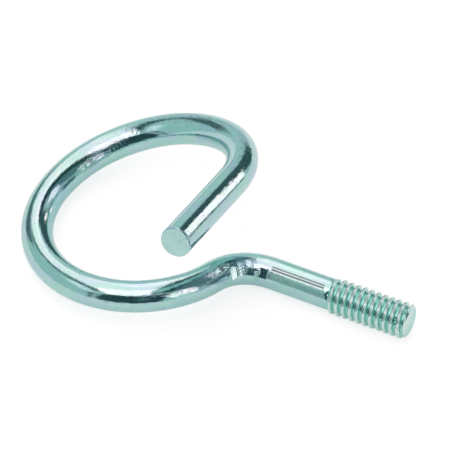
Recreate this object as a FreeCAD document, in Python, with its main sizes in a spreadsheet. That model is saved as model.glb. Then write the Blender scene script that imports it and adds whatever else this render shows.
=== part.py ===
"""Bridle ring: one length of round wire with a rolled machine thread at one end, a
neck bend, and an open coil that a bundle of cable is laid into through the gap beside
the neck.  Millimetres, +Z up.  The part lies on its threaded shank and on the far side
of the ring, with the shank along +X."""
import FreeCAD, Part
import math
import os

os.makedirs("parts", exist_ok=True)
doc = FreeCAD.newDocument("BridleRing")

# ---------------------------------------------------------------- dimensions
RING_BENDS = 8          # equal bends that make up the coil, 340 degrees in all
TOUCHING = 1e-4         # how near two places are to count as the same
MOST_GROWTH = 0.05      # what the thread may add to the volume of plain wire

DIMENSIONS = [
    # alias, value, what it is
    ("wire_dia", 5.5, "plain wire: the thread is rolled, so it stands proud of this"),
    ("thread_dia", 6.35, "major diameter, 1/4-20 UNC"),
    ("thread_length", 14.2, "from the shank's end to the start of the run-out"),
    ("thread_runout", 0.8, "cone from the thread down to the plain wire"),
    ("thread_flat_dia", 5.1, "flat that the chamfer leaves on the shank's end"),
    ("shank_length", 26.0, "straight wire, thread included"),
    ("neck_radius", 8.4, "centreline radius of the neck bend"),
    ("neck_angle", 74.5, "turn of the neck bend, degrees"),
    ("neck_tilt", 12.5, "how far the neck bends up out of the lying plane, degrees"),
    ("ring_tilt", 9.9, "tilt of the coil against the plane of the neck bend, degrees"),
    ("ring_radius", 16.75, "centreline radius of the coil's first bend"),
    ("ring_growth", 0.52, "radius gained from one bend of the coil to the next"),
    ("ring_bend", 42.5, "turn of each bend of the coil, degrees"),
    ("ring_rise", 6.75, "roll from one bend to the next, which makes the coil climb, degrees"),
    ("tail_length", 22.5, "straight tail that runs back over the neck"),
    ("cut_edge", 0.2, "rounding on the sheared end of the tail"),
]
sheet = doc.addObject("Spreadsheet::Sheet", "Dims")
for column, title in zip("ABC", ("alias", "value", "what it is")):
    sheet.set(column + "1", title)
for row, (alias, value, note) in enumerate(DIMENSIONS, start=2):
    sheet.set("A%d" % row, alias)
    sheet.set("B%d" % row, str(value))
    sheet.set("C%d" % row, note)
    sheet.setAlias("B%d" % row, alias)
doc.recompute()

# ---------------------------------------------------------------- building blocks
# Every stretch of wire starts in a frame with +Y along the wire and +X away from the
# centre of the next bend, so each placement follows from the one before it.
body = doc.addObject("PartDesign::Body", "bridle_ring")
body.Label = "bridle_ring"

Z_ONTO_Y = "placement(vector(0; 0; 0); vector(1; 0; 0); -90)"


def straight(name, frame, radius, length):
    """A straight stretch: a cylinder whose own +Z is turned onto the wire."""
    rod = body.newObject("PartDesign::AdditiveCylinder", name)
    rod.setExpression("Radius", radius)
    rod.setExpression("Height", length)
    rod.setExpression("Placement", frame + " * " + Z_ONTO_Y)
    return rod


def bend(name, frame, radius, angle):
    """A bend: a piece of torus that starts at its own +X and turns about its own +Z."""
    arc = body.newObject("PartDesign::AdditiveTorus", name)
    arc.setExpression("Radius1", radius)
    arc.setExpression("Radius2", "Dims.wire_dia / 2")
    arc.setExpression("Angle3", angle)
    to_centre = "placement(vector(-(%s); 0; 0); vector(0; 0; 1); 0)" % radius
    arc.setExpression("Placement", frame + " * " + to_centre)
    return arc


def end_of(arc, radius, angle, roll):
    """The frame where a bend ends, rolled about the wire ready for what follows."""
    turned = "placement(vector(0; 0; 0); vector(0; 0; 1); %s)" % angle
    rolled = "placement(vector(%s; 0; 0); vector(0; 1; 0); %s)" % (radius, roll)
    return "%s.Placement * %s * %s" % (arc.Name, turned, rolled)


def circle_edges(shape, centre, radius):
    """Names of the circular edges of one radius about one point."""
    names = []
    for index, edge in enumerate(shape.Edges, start=1):
        curve = edge.Curve
        if isinstance(curve, Part.Circle) and abs(curve.Radius - radius) < TOUCHING:
            if curve.Center.distanceToPoint(centre) < TOUCHING:
                names.append("Edge%d" % index)
    return names


# ---------------------------------------------------------------- shank and thread
# The shank's axis is the body's X axis and the thread starts at the body's origin.
SHANK_START = "placement(vector(0; 0; 0); vector(0; 0; 1); -90)"
THREAD_END = "placement(vector(Dims.thread_length; 0; 0); vector(0; 0; 1); -90)"
straight("Shank", SHANK_START, "Dims.wire_dia / 2", "Dims.shank_length")
straight("Thread", SHANK_START, "Dims.thread_dia / 2", "Dims.thread_length")

runout = body.newObject("PartDesign::AdditiveCone", "ThreadRunout")
runout.setExpression("Radius1", "Dims.thread_dia / 2")
runout.setExpression("Radius2", "Dims.wire_dia / 2")
runout.setExpression("Height", "Dims.thread_runout")
runout.setExpression("Placement", THREAD_END + " * " + Z_ONTO_Y)

# ---------------------------------------------------------------- neck, coil and tail
# The neck turns to the left.  The wire is then rolled half a turn, so that the coil
# bends back the other way, and climbs over the neck.
NECK_START = ("placement(vector(Dims.shank_length; 0; 0); vector(0; 0; 1); -90)"
              " * placement(vector(0; 0; 0); vector(0; 1; 0); Dims.neck_tilt)")
radius = "Dims.neck_radius"
angle = "Dims.neck_angle"
roll = "180 + Dims.ring_tilt"
last = bend("NeckBend", NECK_START, radius, angle)
for i in range(RING_BENDS):
    frame = end_of(last, radius, angle, roll)
    radius = "Dims.ring_radius + %d * Dims.ring_growth" % i
    angle = "Dims.ring_bend"
    roll = "-Dims.ring_rise"
    last = bend("RingBend%d" % (i + 1), frame, radius, angle)

tail = straight("Tail", end_of(last, radius, angle, "0"), "Dims.wire_dia / 2", "Dims.tail_length")
doc.recompute()

# ---------------------------------------------------------------- ends
# The thread's end is chamfered to start a nut.
chamfer = body.newObject("PartDesign::Chamfer", "ThreadChamfer")
chamfer.Base = (tail, circle_edges(tail.Shape, FreeCAD.Vector(0, 0, 0), sheet.thread_dia / 2))
chamfer.setExpression("Size", "(Dims.thread_dia - Dims.thread_flat_dia) / 2")
doc.recompute()

# The tail is sheared off square, and tumbling rounds its edge a little.
tail_end = tail.Placement.multVec(FreeCAD.Vector(0, 0, sheet.tail_length))
fillet = body.newObject("PartDesign::Fillet", "TailEdge")
fillet.Base = (chamfer, circle_edges(chamfer.Shape, tail_end, sheet.wire_dia / 2))
fillet.setExpression("Radius", "Dims.cut_edge")
body.Tip = fillet
doc.recompute()

# ---------------------------------------------------------------- row frame
# The origin is the middle of the footprint on the surface that the ring lies on, and
# the thread's crests touch that surface.
box = body.Shape.optimalBoundingBox(False, False)
body.Placement = FreeCAD.Placement(
    FreeCAD.Vector(-box.Center.x, -box.Center.y, sheet.thread_dia / 2), FreeCAD.Rotation())
doc.recompute()

# ---------------------------------------------------------------- checks and export
for item in doc.Objects:
    bad = [state for state in item.State if state in ("Invalid", "Error")]
    if bad:
        raise RuntimeError("%s did not compute: %s" % (item.Name, bad))

solid = body.Shape
if solid.isNull() or not solid.isValid() or len(solid.Solids) != 1:
    raise RuntimeError("bridle_ring is not one valid solid")

# The whole wire's volume is its section times its length, plus the thread's growth.
section = math.pi * (sheet.wire_dia / 2) ** 2
turned = sheet.neck_radius * sheet.neck_angle
turned += sum(sheet.ring_radius + i * sheet.ring_growth for i in range(RING_BENDS)) * sheet.ring_bend
wire_length = sheet.shank_length + math.radians(turned) + sheet.tail_length
growth = solid.Volume / (section * wire_length) - 1
if not 0 < growth < MOST_GROWTH:
    raise RuntimeError("the wire's volume is off by %.1f %%" % (100 * growth))

solid.exportStep("parts/bridle_ring.step")
print("bridle_ring", solid.Volume, wire_length, solid.optimalBoundingBox(False, False), body.Placement.Base)
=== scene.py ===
import math

import bpy
import numpy as np
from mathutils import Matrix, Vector


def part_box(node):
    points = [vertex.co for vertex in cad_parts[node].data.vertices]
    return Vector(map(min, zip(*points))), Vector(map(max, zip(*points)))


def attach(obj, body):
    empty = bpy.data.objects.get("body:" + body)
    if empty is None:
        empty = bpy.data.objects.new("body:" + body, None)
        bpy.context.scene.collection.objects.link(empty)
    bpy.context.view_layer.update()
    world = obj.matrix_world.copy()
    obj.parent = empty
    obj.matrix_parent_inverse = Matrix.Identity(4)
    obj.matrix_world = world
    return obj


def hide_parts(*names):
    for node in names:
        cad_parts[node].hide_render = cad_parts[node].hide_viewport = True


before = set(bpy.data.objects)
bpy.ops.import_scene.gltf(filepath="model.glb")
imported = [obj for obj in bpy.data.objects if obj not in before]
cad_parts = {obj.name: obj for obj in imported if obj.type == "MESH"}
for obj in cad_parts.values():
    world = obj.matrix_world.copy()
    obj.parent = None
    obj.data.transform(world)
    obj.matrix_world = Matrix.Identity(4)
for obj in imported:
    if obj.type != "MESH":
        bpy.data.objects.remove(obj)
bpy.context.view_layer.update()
scene = bpy.context.scene
MM = 0.001

# One bent wire with a rolled thread.  Sizes are in mm until the mesh is made.  A place on
# the wire is its length from the threaded end, s, and its angle round the wire, which is
# 0 at the top of the shank and is carried along without twist.

# ---------------------------------------------------------------- the wire's sizes, mm
WIRE_R = 2.75
SHANK_LENGTH = 26.0
NECK_R = 8.4
NECK_ANGLE = 74.5        # degrees, as are the next three
NECK_TILT = 12.5
RING_TILT = 9.9
RING_RISE = 6.75         # roll between one bend of the coil and the next
RING_R = 16.75
RING_GROWTH = 0.52       # radius gained from one bend to the next
RING_BENDS = 8
RING_BEND = 42.5         # degrees in each bend
TAIL_LENGTH = 22.5
CUT_EDGE = 0.2           # rounding of the tail's sheared edge
EASE = 1.0               # length over which a bend eases in and out

THREAD_R = 3.175         # over the crests
THREAD_LENGTH = 14.2
RUNOUT = 0.8
THREAD_FADE = 1.5        # length over which the thread sinks into the wire
PITCH = 1.27
THREAD_START = 0.35      # part of a turn that the thread has made at the top of its end
THREAD_HEIGHT = 0.60
CREST_HALF = 0.16        # half widths of the crest and the root
ROOT_HALF = 0.10
ROUNDED = 0.35           # share of a smooth wave in the flanks, the rest being straight
FOLD_DEPTH = 0.08        # fold that rolling leaves in the crest
FOLD_HALF = 0.06
FLAT_R = 2.55            # flat that the chamfer leaves on the threaded end
CHAMFER = 0.7            # length of the chamfer along the wire

AROUND = 192             # vertices round the wire
PLAIN_RINGS = 3.2        # rings of vertices per mm
# stretches with more to show: start, stop, extra rings per mm
FINE = [(0.0, THREAD_LENGTH + RUNOUT, 17.0), (25.5, 36.0, 9.0), (95.5, 109.5, 6.0)]
FINE_FADE = 1.5
EDGE_RINGS = 7           # rings round the sheared edge
CLEAR_OF_START = 0.03    # how far the other rings keep from the threaded end
CLEAR_OF_EDGE = 0.1      # and from the sheared edge


# ---------------------------------------------------------------- centreline
def turn(axis, degrees):
    """Rotation matrix about a unit axis."""
    a = math.radians(degrees)
    x, y, z = axis
    k = np.array([[0, -z, y], [z, 0, -x], [-y, x, 0]])
    return np.eye(3) + math.sin(a) * k + (1 - math.cos(a)) * k @ k


class Route:
    """Straights and bends; the columns of m point along the wire, into the bend, and up."""

    def __init__(self, step):
        self.step = step
        self.p = np.zeros(3)
        self.m = np.eye(3)
        self.points = [self.p[None]]

    def roll(self, degrees):
        self.m = turn(self.m[:, 0], degrees) @ self.m

    def straight(self, length):
        s = np.linspace(0, length, round(length / self.step) + 1)[1:, None]
        self.points.append(self.p + s * self.m[:, 0])
        self.p = self.points[-1][-1]

    def bend(self, radius, degrees):
        a = math.radians(degrees)
        t = np.linspace(0, a, round(radius * a / self.step) + 1)[1:, None]
        curve = radius * (np.sin(t) * self.m[:, 0] + (1 - np.cos(t)) * self.m[:, 1])
        self.points.append(self.p + curve)
        self.p = self.points[-1][-1]
        self.m = turn(self.m[:, 2], degrees) @ self.m


def centreline(step=0.1):
    """Points along the wire, with the joints between bends eased by a running average."""
    route = Route(step)
    route.straight(SHANK_LENGTH)
    route.roll(NECK_TILT)
    route.bend(NECK_R, NECK_ANGLE)
    route.roll(180 + RING_TILT)
    for i in range(RING_BENDS):
        route.bend(RING_R + i * RING_GROWTH, RING_BEND)
        route.roll(-RING_RISE)
    route.straight(TAIL_LENGTH)
    p = np.concatenate(route.points)
    reach = round(4 * EASE / step)
    weights = np.exp(-0.5 * (np.arange(-reach, reach + 1) * step / EASE) ** 2)
    weights /= weights.sum()
    before = p[0] - (p[1] - p[0]) * np.arange(reach, 0, -1)[:, None]
    after = p[-1] + (p[-1] - p[-2]) * np.arange(1, reach + 1)[:, None]
    p = np.concatenate([before, p, after])
    return np.stack([np.convolve(p[:, c], weights, mode="valid") for c in range(3)], 1)


line = centreline()
line_s = np.concatenate([[0], np.cumsum(np.linalg.norm(np.diff(line, axis=0), axis=1))])
LENGTH = line_s[-1]


def at(s):
    """Points of the centreline at each length."""
    return np.stack([np.interp(s, line_s, line[:, c]) for c in range(3)], 1)


def frames_at(s):
    """Point, tangent and two side axes at each length; the side axes never twist."""
    reach = 0.1
    tangents = at(np.clip(s + reach, 0, LENGTH)) - at(np.clip(s - reach, 0, LENGTH))
    tangents /= np.linalg.norm(tangents, axis=1)[:, None]
    sides = np.zeros_like(tangents)
    u = np.array([0.0, 0.0, 1.0])
    for i, t in enumerate(tangents):
        u = u - (u @ t) * t
        u /= np.linalg.norm(u)
        sides[i] = u
    return at(s), tangents, sides, np.cross(tangents, sides)


# ---------------------------------------------------------------- surface of the wire
def smooth(x):
    """0 to 1, level at both ends."""
    x = np.clip(x, 0, 1)
    return x * x * (3 - 2 * x)


def plateau(x, half, fade):
    """1 within half of 0, fading to 0 over fade."""
    return smooth((half + fade - np.abs(x)) / fade)


def degrees_from(angle, centre):
    """Signed angle from a centre given in degrees, in degrees."""
    return (np.degrees(angle) - centre + 180) % 360 - 180


def thread_radius(s, angle):
    """Rolled right-hand 60 degree thread, with the fold in its crest."""
    phase = (s / PITCH - angle / (2 * math.pi) + THREAD_START) % 1.0
    away = np.abs(phase - 0.5) * PITCH
    flank = THREAD_HEIGHT / (0.5 * PITCH - CREST_HALF - ROOT_HALF)
    drop = np.clip((away - CREST_HALF) * flank, 0, THREAD_HEIGHT)
    drop = THREAD_HEIGHT * smooth(drop / THREAD_HEIGHT) * ROUNDED + drop * (1 - ROUNDED)
    return THREAD_R - drop - FOLD_DEPTH * np.exp(-((away / FOLD_HALF) ** 2))


# facets left by the bending tool: length along the wire, angle, half length, half width in
# degrees, depth, and how much deeper per mm along the wire
FACETS = [
    (26.8, 311, 0.80, 17, 0.13, 0.00),
    (28.4, 293, 0.30, 20, 0.22, 0.00),
    (30.2, 338, 0.80, 12, 0.07, 0.13),
    (31.8, 321, 0.80, 25, 0.26, 0.02),
    (33.7, 310, 1.00, 21, 0.20, 0.14),
]
FACET_FADE = 0.30        # mm along the wire
FACET_FADE_ROUND = 6     # degrees round it
WIDEST = 60              # degrees: wider than any facet, and well short of a right angle

# skin crumpled round the facets: where it is, and its height
CRUMPLED_ANGLE = 318
CRUMPLED_WIDTH = 24      # degrees
CRUMPLED_MIDDLE = 31.2
CRUMPLED_HALF = 4.0
CRUMPLED_FADE = 1.8
CRUMPLE_HEIGHT = 0.010
# strength, then two waves that are multiplied: radians per mm along the wire, radians per
# degree round it, and start
CRUMPLES = [
    (1.0, (6.1, 0.21, 0.0), (2.7, -0.30, 1.1)),
    (0.5, (9.7, -0.35, 0.0), (1.9, 0.52, 0.0)),
]

# lines scored along the shank: angle and half width
SCORES = [(332.6, 0.20), (342.8, 0.12)]
SCORED_MIDDLE = 20.6
SCORED_HALF = 4.8
SCORED_FADE = 0.3
SCORE_DEPTH = 0.03

# dents: length along the wire, angle, half length, half width in degrees, depth
DENTS = [
    (96.6, 66, 0.35, 20, 0.05),
    (97.5, 52, 0.22, 10, 0.04),
    (98.1, 71, 0.18, 8, 0.03),
    (108.2, 26, 0.22, 9, 0.04),
    (108.8, 35, 0.18, 7, 0.03),
    (1.9, 306, 0.30, 8, 0.22),
    (1.0, 292, 0.25, 9, 0.20),
    (0.9, 352, 0.25, 7, 0.12),
    (14.6, 318, 0.30, 8, 0.10),
    (70.5, 20, 0.20, 7, 0.03),
    (119.0, 352, 0.22, 8, 0.025),
    (139.5, 300, 0.25, 8, 0.03),
    *((102.3 + 0.85 * i, 61 - 2 * i, 0.13, 9, 0.025) for i in range(5)),
]


def faceted(r, s, angle):
    """The radius with the facets pressed into it."""
    for middle, around, half, width, depth, tilt in FACETS:
        off = degrees_from(angle, around)
        flat = WIRE_R - depth - tilt * (s - middle)
        flat = flat / np.cos(np.radians(np.clip(off, -WIDEST, WIDEST)))
        within = plateau(s - middle, half, FACET_FADE) * plateau(off, width, FACET_FADE_ROUND)
        r = r - np.clip(r - flat, 0, None) * within
    return r


def crumple(s, angle):
    """Height of the crumpled skin in the neck."""
    off = degrees_from(angle, CRUMPLED_ANGLE)
    height = np.zeros_like(s)
    for strength, *waves in CRUMPLES:
        one, other = (np.sin(per_mm * s + per_degree * off + start)
                      for per_mm, per_degree, start in waves)
        height += strength * one * other
    lengthwise = plateau(s - CRUMPLED_MIDDLE, CRUMPLED_HALF, CRUMPLED_FADE)
    return CRUMPLE_HEIGHT * height * lengthwise * np.exp(-((off / CRUMPLED_WIDTH) ** 2))


def scored(s, angle):
    """1 in the lines along the shank, 0 away from them."""
    strength = np.zeros_like(s)
    for around, width in SCORES:
        across = np.radians(degrees_from(angle, around)) * WIRE_R
        strength = np.maximum(strength, np.exp(-((across / width) ** 2)))
    return strength * plateau(s - SCORED_MIDDLE, SCORED_HALF, SCORED_FADE)


def dented(s, angle):
    """Depth of the dents."""
    depth = np.zeros_like(s)
    for middle, around, half, width, deepest in DENTS:
        off = degrees_from(angle, around) / width
        depth += deepest * np.exp(-((s - middle) / half) ** 2 - off ** 2)
    return depth


def surface_radius(s, angle):
    """Distance of the surface from the centreline."""
    r = faceted(np.full_like(s, WIRE_R), s, angle) + crumple(s, angle)
    r = r - SCORE_DEPTH * scored(s, angle)
    thread_stops = THREAD_LENGTH + RUNOUT
    thread = (thread_radius(s, angle) - r) * smooth((thread_stops - s) / THREAD_FADE)
    r = np.where(s < thread_stops, r + thread, r)
    r = r - dented(s, angle)
    up_chamfer = np.sin(0.5 * math.pi * np.clip(s / CHAMFER, 0, 1))
    r = np.minimum(r, FLAT_R + (THREAD_R - FLAT_R) * up_chamfer)
    past = np.clip(CUT_EDGE - (LENGTH - s), 0, None)
    return r - (CUT_EDGE - np.sqrt(np.clip(CUT_EDGE ** 2 - past ** 2, 0, None)))


# ---------------------------------------------------------------- mesh
def ring_places():
    """Lengths of the rings of vertices, close together where there is something to show."""
    step = 0.01
    probe = np.arange(0, LENGTH, step)
    per_mm = np.full_like(probe, PLAIN_RINGS)
    for start, stop, extra in FINE:
        per_mm += extra * plateau(probe - (start + stop) / 2, (stop - start) / 2, FINE_FADE)
    rings_before = np.cumsum(per_mm) * step
    s = np.interp(np.arange(0, rings_before[-1]), rings_before, probe)
    clear_of_ends = (s > CLEAR_OF_START) & (s < LENGTH - CUT_EDGE - CLEAR_OF_EDGE)
    edge = LENGTH - CUT_EDGE + CUT_EDGE * np.sin(np.linspace(0, 0.5 * math.pi, EDGE_RINGS))
    return np.concatenate([[0.0], s[clear_of_ends], edge])


stations = ring_places()
centres, tangents, sides_u, sides_v = frames_at(stations)
angles = np.linspace(0, 2 * math.pi, AROUND, endpoint=False)
S, A = np.meshgrid(stations, angles, indexing="ij")
outward = np.cos(A)[..., None] * sides_u[:, None] + np.sin(A)[..., None] * sides_v[:, None]
grid = centres[:, None] + surface_radius(S, A)[..., None] * outward

index = np.arange(S.size).reshape(S.shape)
near, far = index[:-1], index[1:]
quads = np.stack([near, far, np.roll(far, -1, 1), np.roll(near, -1, 1)], -1)
faces = quads.reshape(-1, 4).tolist()
verts = grid.reshape(-1, 3).tolist()
# the wire straightened out, in mm: it carries the finish along the wire
unrolled = np.stack([S, WIRE_R * np.cos(A), WIRE_R * np.sin(A)], -1).reshape(-1, 3).tolist()
on_cut = [0.0] * len(verts)

STEPS_IN = (0.97, 0.9, 0.78, 0.62, 0.45, 0.28, 0.12)
# unevenness of a cut end: height, waves round it, start
LOBES = [(0.08, 2, 1.3), (0.015, 3, 0.0)]


def close_end(ring, out_of_wire, station, reverse):
    """Rings stepping in to the middle of a cut end, faintly uneven as a shear leaves it."""
    middle = np.mean([verts[i] for i in ring], axis=0)
    edge = [np.array(verts[i]) for i in ring]
    outer = ring
    for f in STEPS_IN:
        inner = []
        for point, a in zip(edge, angles):
            uneven = sum(h * math.sin(n * a + start) for h, n, start in LOBES) * f * (1 - f)
            inner.append(len(verts))
            verts.append((middle + f * (point - middle) + out_of_wire * uneven).tolist())
            unrolled.append([station, WIRE_R * f * math.cos(a), WIRE_R * f * math.sin(a)])
            on_cut.append(1.0)
        for j in range(AROUND):
            k = (j + 1) % AROUND
            quad = [outer[j], outer[k], inner[k], inner[j]]
            faces.append(quad[::-1] if reverse else quad)
        outer = inner
    tip = len(verts)
    verts.append(middle.tolist())
    unrolled.append([station, 0.0, 0.0])
    on_cut.append(1.0)
    for j in range(AROUND):
        triangle = [outer[j], outer[(j + 1) % AROUND], tip]
        faces.append(triangle[::-1] if reverse else triangle)


close_end(index[0].tolist(), -tangents[0], 0.0, False)
close_end(index[-1].tolist(), tangents[-1], LENGTH, True)

# ---------------------------------------------------------------- where the finish varies
# length along the wire, angle, half length, half width in degrees, strength
BLUED = [
    (31.7, 348, 2.6, 24, 1.0),
    (84.0, 95, 9.0, 22, 0.8),
    (134.0, 330, 8.0, 30, 0.5),
    (52.0, 350, 6.0, 25, 0.3),
]
SCUFFED = [
    (36.6, 339, 2.4, 14, 1.6),
    (40.5, 322, 3.0, 10, 0.8),
    (48.5, 318, 7.0, 6, 0.7),
    (97.5, 58, 2.5, 24, 0.9),
    (104.0, 50, 3.5, 18, 0.5),
    (124.0, 350, 7.0, 16, 0.7),
    (139.0, 318, 7.0, 14, 0.6),
    (149.0, 289, 6.0, 4, 1.4),
    (164.0, 267, 6.0, 4, 1.2),
    (30.3, 320, 1.0, 14, 0.5),
]
unrolled = np.array(unrolled)
vert_s = unrolled[:, 0]
vert_angle = np.arctan2(unrolled[:, 2], unrolled[:, 1])


def patches(places):
    """The strongest of the soft patches, at every vertex."""
    cover = np.zeros_like(vert_s)
    for middle, around, half, width, strength in places:
        along, across = (vert_s - middle) / half, degrees_from(vert_angle, around) / width
        cover = np.maximum(cover, strength * np.exp(-along ** 2 - across ** 2))
    return cover


def crests():
    """1 on the thread's crests, 0 where the plain wire would be and past the thread."""
    proud = (thread_radius(vert_s, vert_angle) - WIRE_R) / (THREAD_R - WIRE_R)
    return np.where(vert_s < THREAD_LENGTH, np.clip(proud, 0, 1), 0.0)


POINT_DATA = {
    "on_cut": on_cut,
    "blued": patches(BLUED),
    "scuffed": patches(SCUFFED),
    "scored": scored(vert_s, vert_angle),
    "crest": crests(),
}

# ---------------------------------------------------------------- the piece
points = np.array(verts)
cad_lo, cad_hi = (np.array(corner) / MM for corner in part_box("bridle_ring"))
middle_y = (points[:, 1].min() + points[:, 1].max()) / 2
points += (cad_lo[0] - points[:, 0].min(), (cad_lo[1] + cad_hi[1]) / 2 - middle_y, THREAD_R)

mesh = bpy.data.meshes.new("wire")
mesh.from_pydata((points * MM).tolist(), [], faces)
straightened = mesh.attributes.new("unrolled", "FLOAT_VECTOR", "POINT")
straightened.data.foreach_set("vector", unrolled.ravel())
for name, values in POINT_DATA.items():
    mesh.attributes.new(name, "FLOAT", "POINT").data.foreach_set("value", values)
mesh.shade_smooth()
wire = bpy.data.objects.new("wire", mesh)
bpy.context.collection.objects.link(wire)

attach(wire, "root")
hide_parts("bridle_ring")


# ---------------------------------------------------------------- node helper
class Nodes:
    """Makes and links the nodes of one tree; a value is a number, a colour or a socket."""

    def __init__(self, tree):
        self.tree = tree

    def add(self, kind, **settings):
        made = self.tree.nodes.new(kind)
        for key, value in settings.items():
            setattr(made, key, value)
        return made

    def feed(self, socket, value):
        if isinstance(value, bpy.types.NodeSocket):
            self.tree.links.new(value, socket)
        else:
            socket.default_value = value

    def math(self, operation, *values):
        made = self.add("ShaderNodeMath", operation=operation)
        for socket, value in zip(made.inputs, values):
            self.feed(socket, value)
        return made.outputs[0]

    def total(self, first, *pairs):
        """The first value, and each of the others times its weight."""
        for value, weight in pairs:
            first = self.math("MULTIPLY_ADD", value, weight, first)
        return first

    def mix(self, factor, a, b):
        """Colour a where the factor is 0, and b where it is 1."""
        made = self.add("ShaderNodeMix", data_type="RGBA")
        factor_socket, a_socket, b_socket = (made.inputs[i] for i in (0, 6, 7))
        self.feed(factor_socket, factor)
        self.feed(a_socket, a)
        self.feed(b_socket, b)
        return made.outputs[2]

    def remap(self, value, low, high, to_low, to_high):
        made = self.add("ShaderNodeMapRange")
        self.feed(made.inputs["Value"], value)
        for name, x in zip(("From Min", "From Max", "To Min", "To Max"), (low, high, to_low, to_high)):
            made.inputs[name].default_value = x
        return made.outputs[0]

    def attribute(self, name, output="Fac"):
        return self.add("ShaderNodeAttribute", attribute_name=name).outputs[output]

    def split(self, vector):
        made = self.add("ShaderNodeSeparateXYZ")
        self.feed(made.inputs[0], vector)
        return made.outputs

    def noise(self, vector, per_mm, detail, roughness):
        """Noise with its own scale along each axis of the vector."""
        scaled = self.add("ShaderNodeMapping")
        self.feed(scaled.inputs["Vector"], vector)
        scaled.inputs["Scale"].default_value = per_mm
        made = self.add("ShaderNodeTexNoise")
        self.feed(made.inputs["Vector"], scaled.outputs[0])
        for name, value in (("Scale", 1.0), ("Detail", detail), ("Roughness", roughness)):
            made.inputs[name].default_value = value
        return made.outputs["Fac"]


# ---------------------------------------------------------------- zinc plate
GREENISH = (0.43, 0.72, 0.67, 1)
BLUISH = (0.47, 0.67, 0.74, 1)
PALE = (0.58, 0.76, 0.73, 1)
MINT = (0.35, 0.70, 0.64, 1)
BLUE = (0.34, 0.65, 0.72, 1)
DULL = (0.34, 0.47, 0.48, 1)
SHEARED = (0.66, 0.94, 0.91, 1)
# painted highlight: a pale colour laid on the thread's crests, which leaves the roots darker by
# contrast as painted shade
CREST_HIGHLIGHT = (0.80, 0.92, 0.90, 1)
SCUFF = (0.07, 0.13, 0.14, 1)
BARE = (0.03, 0.06, 0.06, 1)


def zinc_plate():
    """Bright zinc with a thin blue-green chromate over it, streaked along the wire.  The
    noise scales are per mm: along the wire, then across it twice."""
    material = bpy.data.materials.new("zinc_plate")
    material.use_nodes = True
    nodes = Nodes(material.node_tree)
    shader = material.node_tree.nodes["Principled BSDF"]
    shader.inputs["Metallic"].default_value = 1.0

    along = nodes.attribute("unrolled", "Vector")
    s = nodes.split(along)[0]
    threaded = nodes.remap(s, THREAD_LENGTH, THREAD_LENGTH + 2.0, 1.0, 0.0)
    shank = nodes.remap(s, SHANK_LENGTH - 1.5, SHANK_LENGTH + 0.5, 1.0, 0.0)
    cut = nodes.attribute("on_cut")
    blue = nodes.attribute("blued")
    crest = nodes.attribute("crest")
    score = nodes.attribute("scored")

    streaks = nodes.noise(along, (0.30, 1.3, 1.3), 3.0, 0.6)
    peel = nodes.noise(along, (1.3, 3.6, 3.6), 2.0, 0.6)
    grain = nodes.noise(along, (8.0, 8.0, 8.0), 2.0, 0.6)
    cloud = nodes.noise(along, (0.10, 0.35, 0.35), 2.0, 0.5)
    hue = nodes.noise(along, (0.208, 0.39, 0.39), 1.0, 0.5)
    pits = nodes.remap(nodes.noise(along, (2.2, 3.2, 3.2), 1.0, 0.5), 0.66, 0.74, 0.0, 1.0)
    torn = nodes.remap(nodes.noise(along, (1.0, 2.6, 2.6), 3.0, 0.65), 0.44, 0.53, 0.0, 1.0)
    scuff = nodes.math("MULTIPLY", nodes.attribute("scuffed"), torn)

    colour = nodes.mix(nodes.remap(hue, 0.42, 0.64, 0.0, 1.0), GREENISH, BLUISH)
    # where each tint lies over those before it, how strongly, and the tint
    layers = [
        (nodes.remap(streaks, 0.50, 0.75, 0.0, 1.0), 0.8, PALE),
        (threaded, 0.85, MINT),
        (blue, nodes.remap(cloud, 0.35, 0.6, 0.6, 1.0), BLUE),
        (cut, 0.8, SHEARED),
        # painted highlight on the crests of the thread; the roots stay darker, a painted shade by
        # contrast
        (crest, 0.8, CREST_HIGHLIGHT),
        (scuff, 0.75, SCUFF),
        (score, 0.95, BARE),
        (pits, 0.5, DULL),
    ]
    for cover, strength, tint in layers:
        colour = nodes.mix(nodes.math("MULTIPLY", cover, strength), colour, tint)
    nodes.feed(shader.inputs["Base Color"], colour)

    roughness = nodes.total(
        nodes.remap(cloud, 0.3, 0.7, 0.03, 0.065),
        (nodes.remap(grain, 0.50, 0.8, 0.0, 1.0), 0.08),
        (pits, 0.12),
        (shank, 0.05),
        (cut, 0.35),
        (nodes.math("POWER", blue, 2.0), 0.34),
    )
    nodes.feed(shader.inputs["Roughness"], roughness)

    # each with its height in mm
    raised = [(streaks, 0.013), (peel, 0.017), (grain, 0.004)]
    sunk = [(pits, -0.006), (scuff, -0.010)]
    height = nodes.total(0.0, *raised, *sunk)
    relief = nodes.add("ShaderNodeBump")
    relief.inputs["Strength"].default_value = 1.0
    relief.inputs["Distance"].default_value = MM
    nodes.feed(relief.inputs["Height"], height)
    nodes.feed(shader.inputs["Normal"], relief.outputs[0])
    return material


mesh.materials.append(zinc_plate())

# ---------------------------------------------------------------- camera
AIM = Vector((3.55, -9.2, 0.0)) * MM
AZIMUTH = math.radians(-154.5)
ELEVATION = math.radians(48.1)
DISTANCE = 1.164         # m
LENS = 539.0             # mm, as is the sensor's width
SENSOR = 36


def place_camera():
    look = Vector((
        -math.sin(AZIMUTH) * math.cos(ELEVATION),
        math.cos(AZIMUTH) * math.cos(ELEVATION),
        -math.sin(ELEVATION),
    ))
    lens = bpy.data.cameras.new("camera")
    lens.lens = LENS
    lens.sensor_width = SENSOR
    lens.clip_start = 0.01
    lens.clip_end = 20
    camera = bpy.data.objects.new("camera", lens)
    camera.location = AIM - look * DISTANCE
    camera.rotation_euler = look.to_track_quat("-Z", "Y").to_euler()
    bpy.context.collection.objects.link(camera)
    scene.camera = camera


place_camera()
scene.view_settings.view_transform = "Standard"

# ---------------------------------------------------------------- floor
FLOOR_HALF = 0.15        # half the white sheet's side, m


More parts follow.
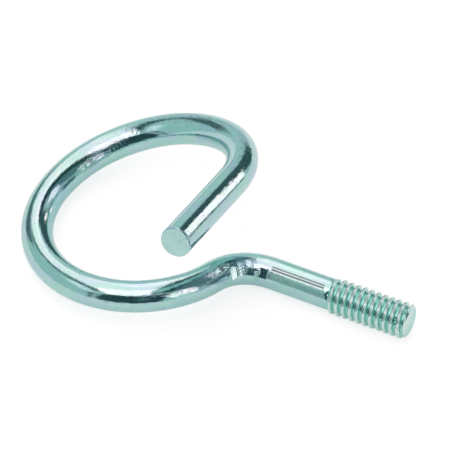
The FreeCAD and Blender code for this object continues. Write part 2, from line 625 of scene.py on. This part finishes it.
def white_sheet():
    """White paper that glows.  The camera sees more of the glow than the metal does, so
    that the shadow is as faint as on an overexposed sheet."""
    material = bpy.data.materials.new("white_sweep")
    material.use_nodes = True
    material.node_tree.nodes.clear()
    nodes = Nodes(material.node_tree)
    seen = nodes.add("ShaderNodeLightPath").outputs["Is Camera Ray"]
    matte = nodes.add("ShaderNodeBsdfDiffuse")
    nodes.feed(matte.inputs["Color"], nodes.mix(seen, (0.93, 0.97, 0.95, 1), (0.52, 0.50, 0.50, 1)))
    glow = nodes.add("ShaderNodeEmission")
    nodes.feed(glow.inputs["Color"], nodes.mix(seen, (0.155, 0.20, 0.19, 1), (0.72, 0.72, 0.72, 1)))
    both = nodes.add("ShaderNodeAddShader")
    nodes.feed(both.inputs[0], matte.outputs[0])
    nodes.feed(both.inputs[1], glow.outputs[0])
    nodes.feed(nodes.add("ShaderNodeOutputMaterial").inputs["Surface"], both.outputs[0])
    return material


floor_mesh = bpy.data.meshes.new("floor")
corners = [(x * FLOOR_HALF, y * FLOOR_HALF, 0) for x, y in ((-1, -1), (1, -1), (1, 1), (-1, 1))]
floor_mesh.from_pydata(corners, [], [(0, 1, 2, 3)])
floor_mesh.materials.append(white_sheet())
floor = bpy.data.objects.new("floor", floor_mesh)
bpy.context.collection.objects.link(floor)

# ---------------------------------------------------------------- light
# Soft-edged cards round the table, painted on the world.  A card's place is where its
# direction falls on a fisheye chart of the room: (0, 0) is straight up, +Y the far side
# of the table, +X its right side, and 1 the horizon.
# centre, half size, turn in degrees, edge softness, colour
CARDS = [
    ((-0.80, 0.00), (0.38, 1.30), 0, 0.03, (0.50, 0.64, 0.64)),        # left wall
    ((-0.50, -0.15), (0.06, 0.20), 0, 0.04, (1.00, 1.03, 1.01)),       # its lit edge
    ((-0.53, 0.66), (0.20, 0.13), 35, 0.04, (0.12, 0.18, 0.19)),       # far left, dark
    ((-0.12, -0.95), (0.46, 0.55), 0, 0.015, (0.035, 0.075, 0.085)),   # front, dark
    ((-0.60, -0.62), (0.07, 0.20), -42, 0.02, (0.10, 0.17, 0.18)),     # its left end
    ((0.05, -0.62), (0.09, 0.18), 0, 0.04, (0.11, 0.18, 0.20)),        # softer patch in it
    ((-0.54, -0.57), (0.034, 0.38), -36, 0.02, (0.50, 0.60, 0.60)),    # stand at its left
    ((-0.12, 0.80), (0.26, 0.20), 0, 0.05, (0.60, 0.72, 0.72)),        # far ceiling
    ((-0.12, 0.34), (0.21, 0.32), 0, 0.03, (1.40, 1.18, 1.18)),        # ceiling
    ((0.00, 0.48), (0.07, 0.18), 0, 0.04, (1.70, 1.37, 1.36)),         # its bright strip
    ((-0.39, 0.16), (0.04, 0.38), 4, 0.015, (0.06, 0.12, 0.13)),       # gap left of the ceiling
    ((-0.11, -0.18), (0.205, 0.20), 0, 0.012, (2.10, 1.55, 1.57)),     # overhead box
    ((0.46, 0.04), (0.19, 0.32), 0, 0.04, (0.14, 0.22, 0.24)),         # right, mid grey
    ((0.20, 0.14), (0.105, 0.46), 0, 0.012, (0.03, 0.07, 0.08)),       # dark bar beside the box
    ((0.45, 0.74), (0.27, 0.25), 0, 0.02, (0.06, 0.11, 0.12)),         # far right, dark
    ((0.84, 0.30), (0.17, 0.20), 0, 0.03, (0.65, 0.78, 0.80)),         # far right, pale
    ((0.54, 0.24), (0.15, 0.10), -38, 0.02, (1.40, 1.18, 1.21)),       # right strip box
    ((0.69, 0.548), (0.205, 0.040), -15, 0.012, (2.15, 1.55, 1.57)),   # far strip box
    ((0.99, 0.475), (0.10, 0.055), -4, 0.012, (0.05, 0.10, 0.11)),     # dark past it
    ((0.50, -0.50), (0.20, 0.17), 45, 0.02, (1.95, 1.45, 1.47)),       # right box
    ((0.68, -0.68), (0.10, 0.16), 45, 0.04, (0.75, 0.82, 0.82)),       # spill beside it
    ((0.88, -0.12), (0.10, 0.17), 0, 0.03, (0.10, 0.17, 0.19)),        # low right, dark
]
AMBIENT = (0.50, 0.60, 0.60, 1)
WHITE = (1, 1, 1, 1)
NEARLY_ZERO = 1e-4


def fisheye_chart(nodes):
    """Each direction's place on the chart."""
    spin = nodes.add("ShaderNodeVectorRotate", rotation_type="Z_AXIS")
    nodes.feed(spin.inputs["Vector"], nodes.add("ShaderNodeTexCoord").outputs["Generated"])
    spin.inputs["Angle"].default_value = -AZIMUTH
    x, y, z = nodes.split(spin.outputs[0])
    flat_squared = nodes.math("ADD", nodes.math("MULTIPLY", x, x), nodes.math("MULTIPLY", y, y))
    flat = nodes.math("SQRT", flat_squared)
    from_zenith = nodes.math("DIVIDE", nodes.math("ARCTAN2", flat, z), math.pi / 2)
    stretch = nodes.math("DIVIDE", from_zenith, nodes.math("MAXIMUM", flat, NEARLY_ZERO))
    chart = nodes.add("ShaderNodeCombineXYZ")
    nodes.feed(chart.inputs[0], nodes.math("MULTIPLY", x, stretch))
    nodes.feed(chart.inputs[1], nodes.math("MULTIPLY", y, stretch))
    return chart.outputs[0]


def card_cover(nodes, chart, place, half, degrees, soft):
    """1 on a card, fading to 0 over its edge."""
    local = nodes.add("ShaderNodeMapping", vector_type="TEXTURE")
    nodes.feed(local.inputs["Vector"], chart)
    local.inputs["Location"].default_value = (*place, 0)
    local.inputs["Rotation"].default_value = (0, 0, math.radians(degrees))
    local.inputs["Scale"].default_value = (*half, 1)
    distance = nodes.add("ShaderNodeVectorMath", operation="ABSOLUTE")
    nodes.feed(distance.inputs[0], local.outputs[0])
    inside = []
    for part, h in zip(nodes.split(distance.outputs[0]), half):
        fade = nodes.add("ShaderNodeMapRange", interpolation_type="SMOOTHSTEP")
        nodes.feed(fade.inputs["Value"], part)
        fade.inputs["From Min"].default_value = 1 + soft / h
        fade.inputs["From Max"].default_value = 1 - soft / h
        inside.append(fade.outputs[0])
    return nodes.math("MULTIPLY", *inside)


def studio():
    """The room that the metal reflects; the camera itself sees plain white."""
    world = bpy.data.worlds.new("studio")
    world.use_nodes = True
    world.node_tree.nodes.clear()
    nodes = Nodes(world.node_tree)
    chart = fisheye_chart(nodes)
    room = AMBIENT
    for place, half, degrees, soft, tint in CARDS:
        room = nodes.mix(card_cover(nodes, chart, place, half, degrees, soft), room, (*tint, 1))
    room = nodes.mix(nodes.add("ShaderNodeLightPath").outputs["Is Camera Ray"], room, WHITE)
    background = nodes.add("ShaderNodeBackground")
    nodes.feed(background.inputs["Color"], room)
    nodes.feed(nodes.add("ShaderNodeOutputWorld").inputs["Surface"], background.outputs[0])
    return world


scene.world = studio()
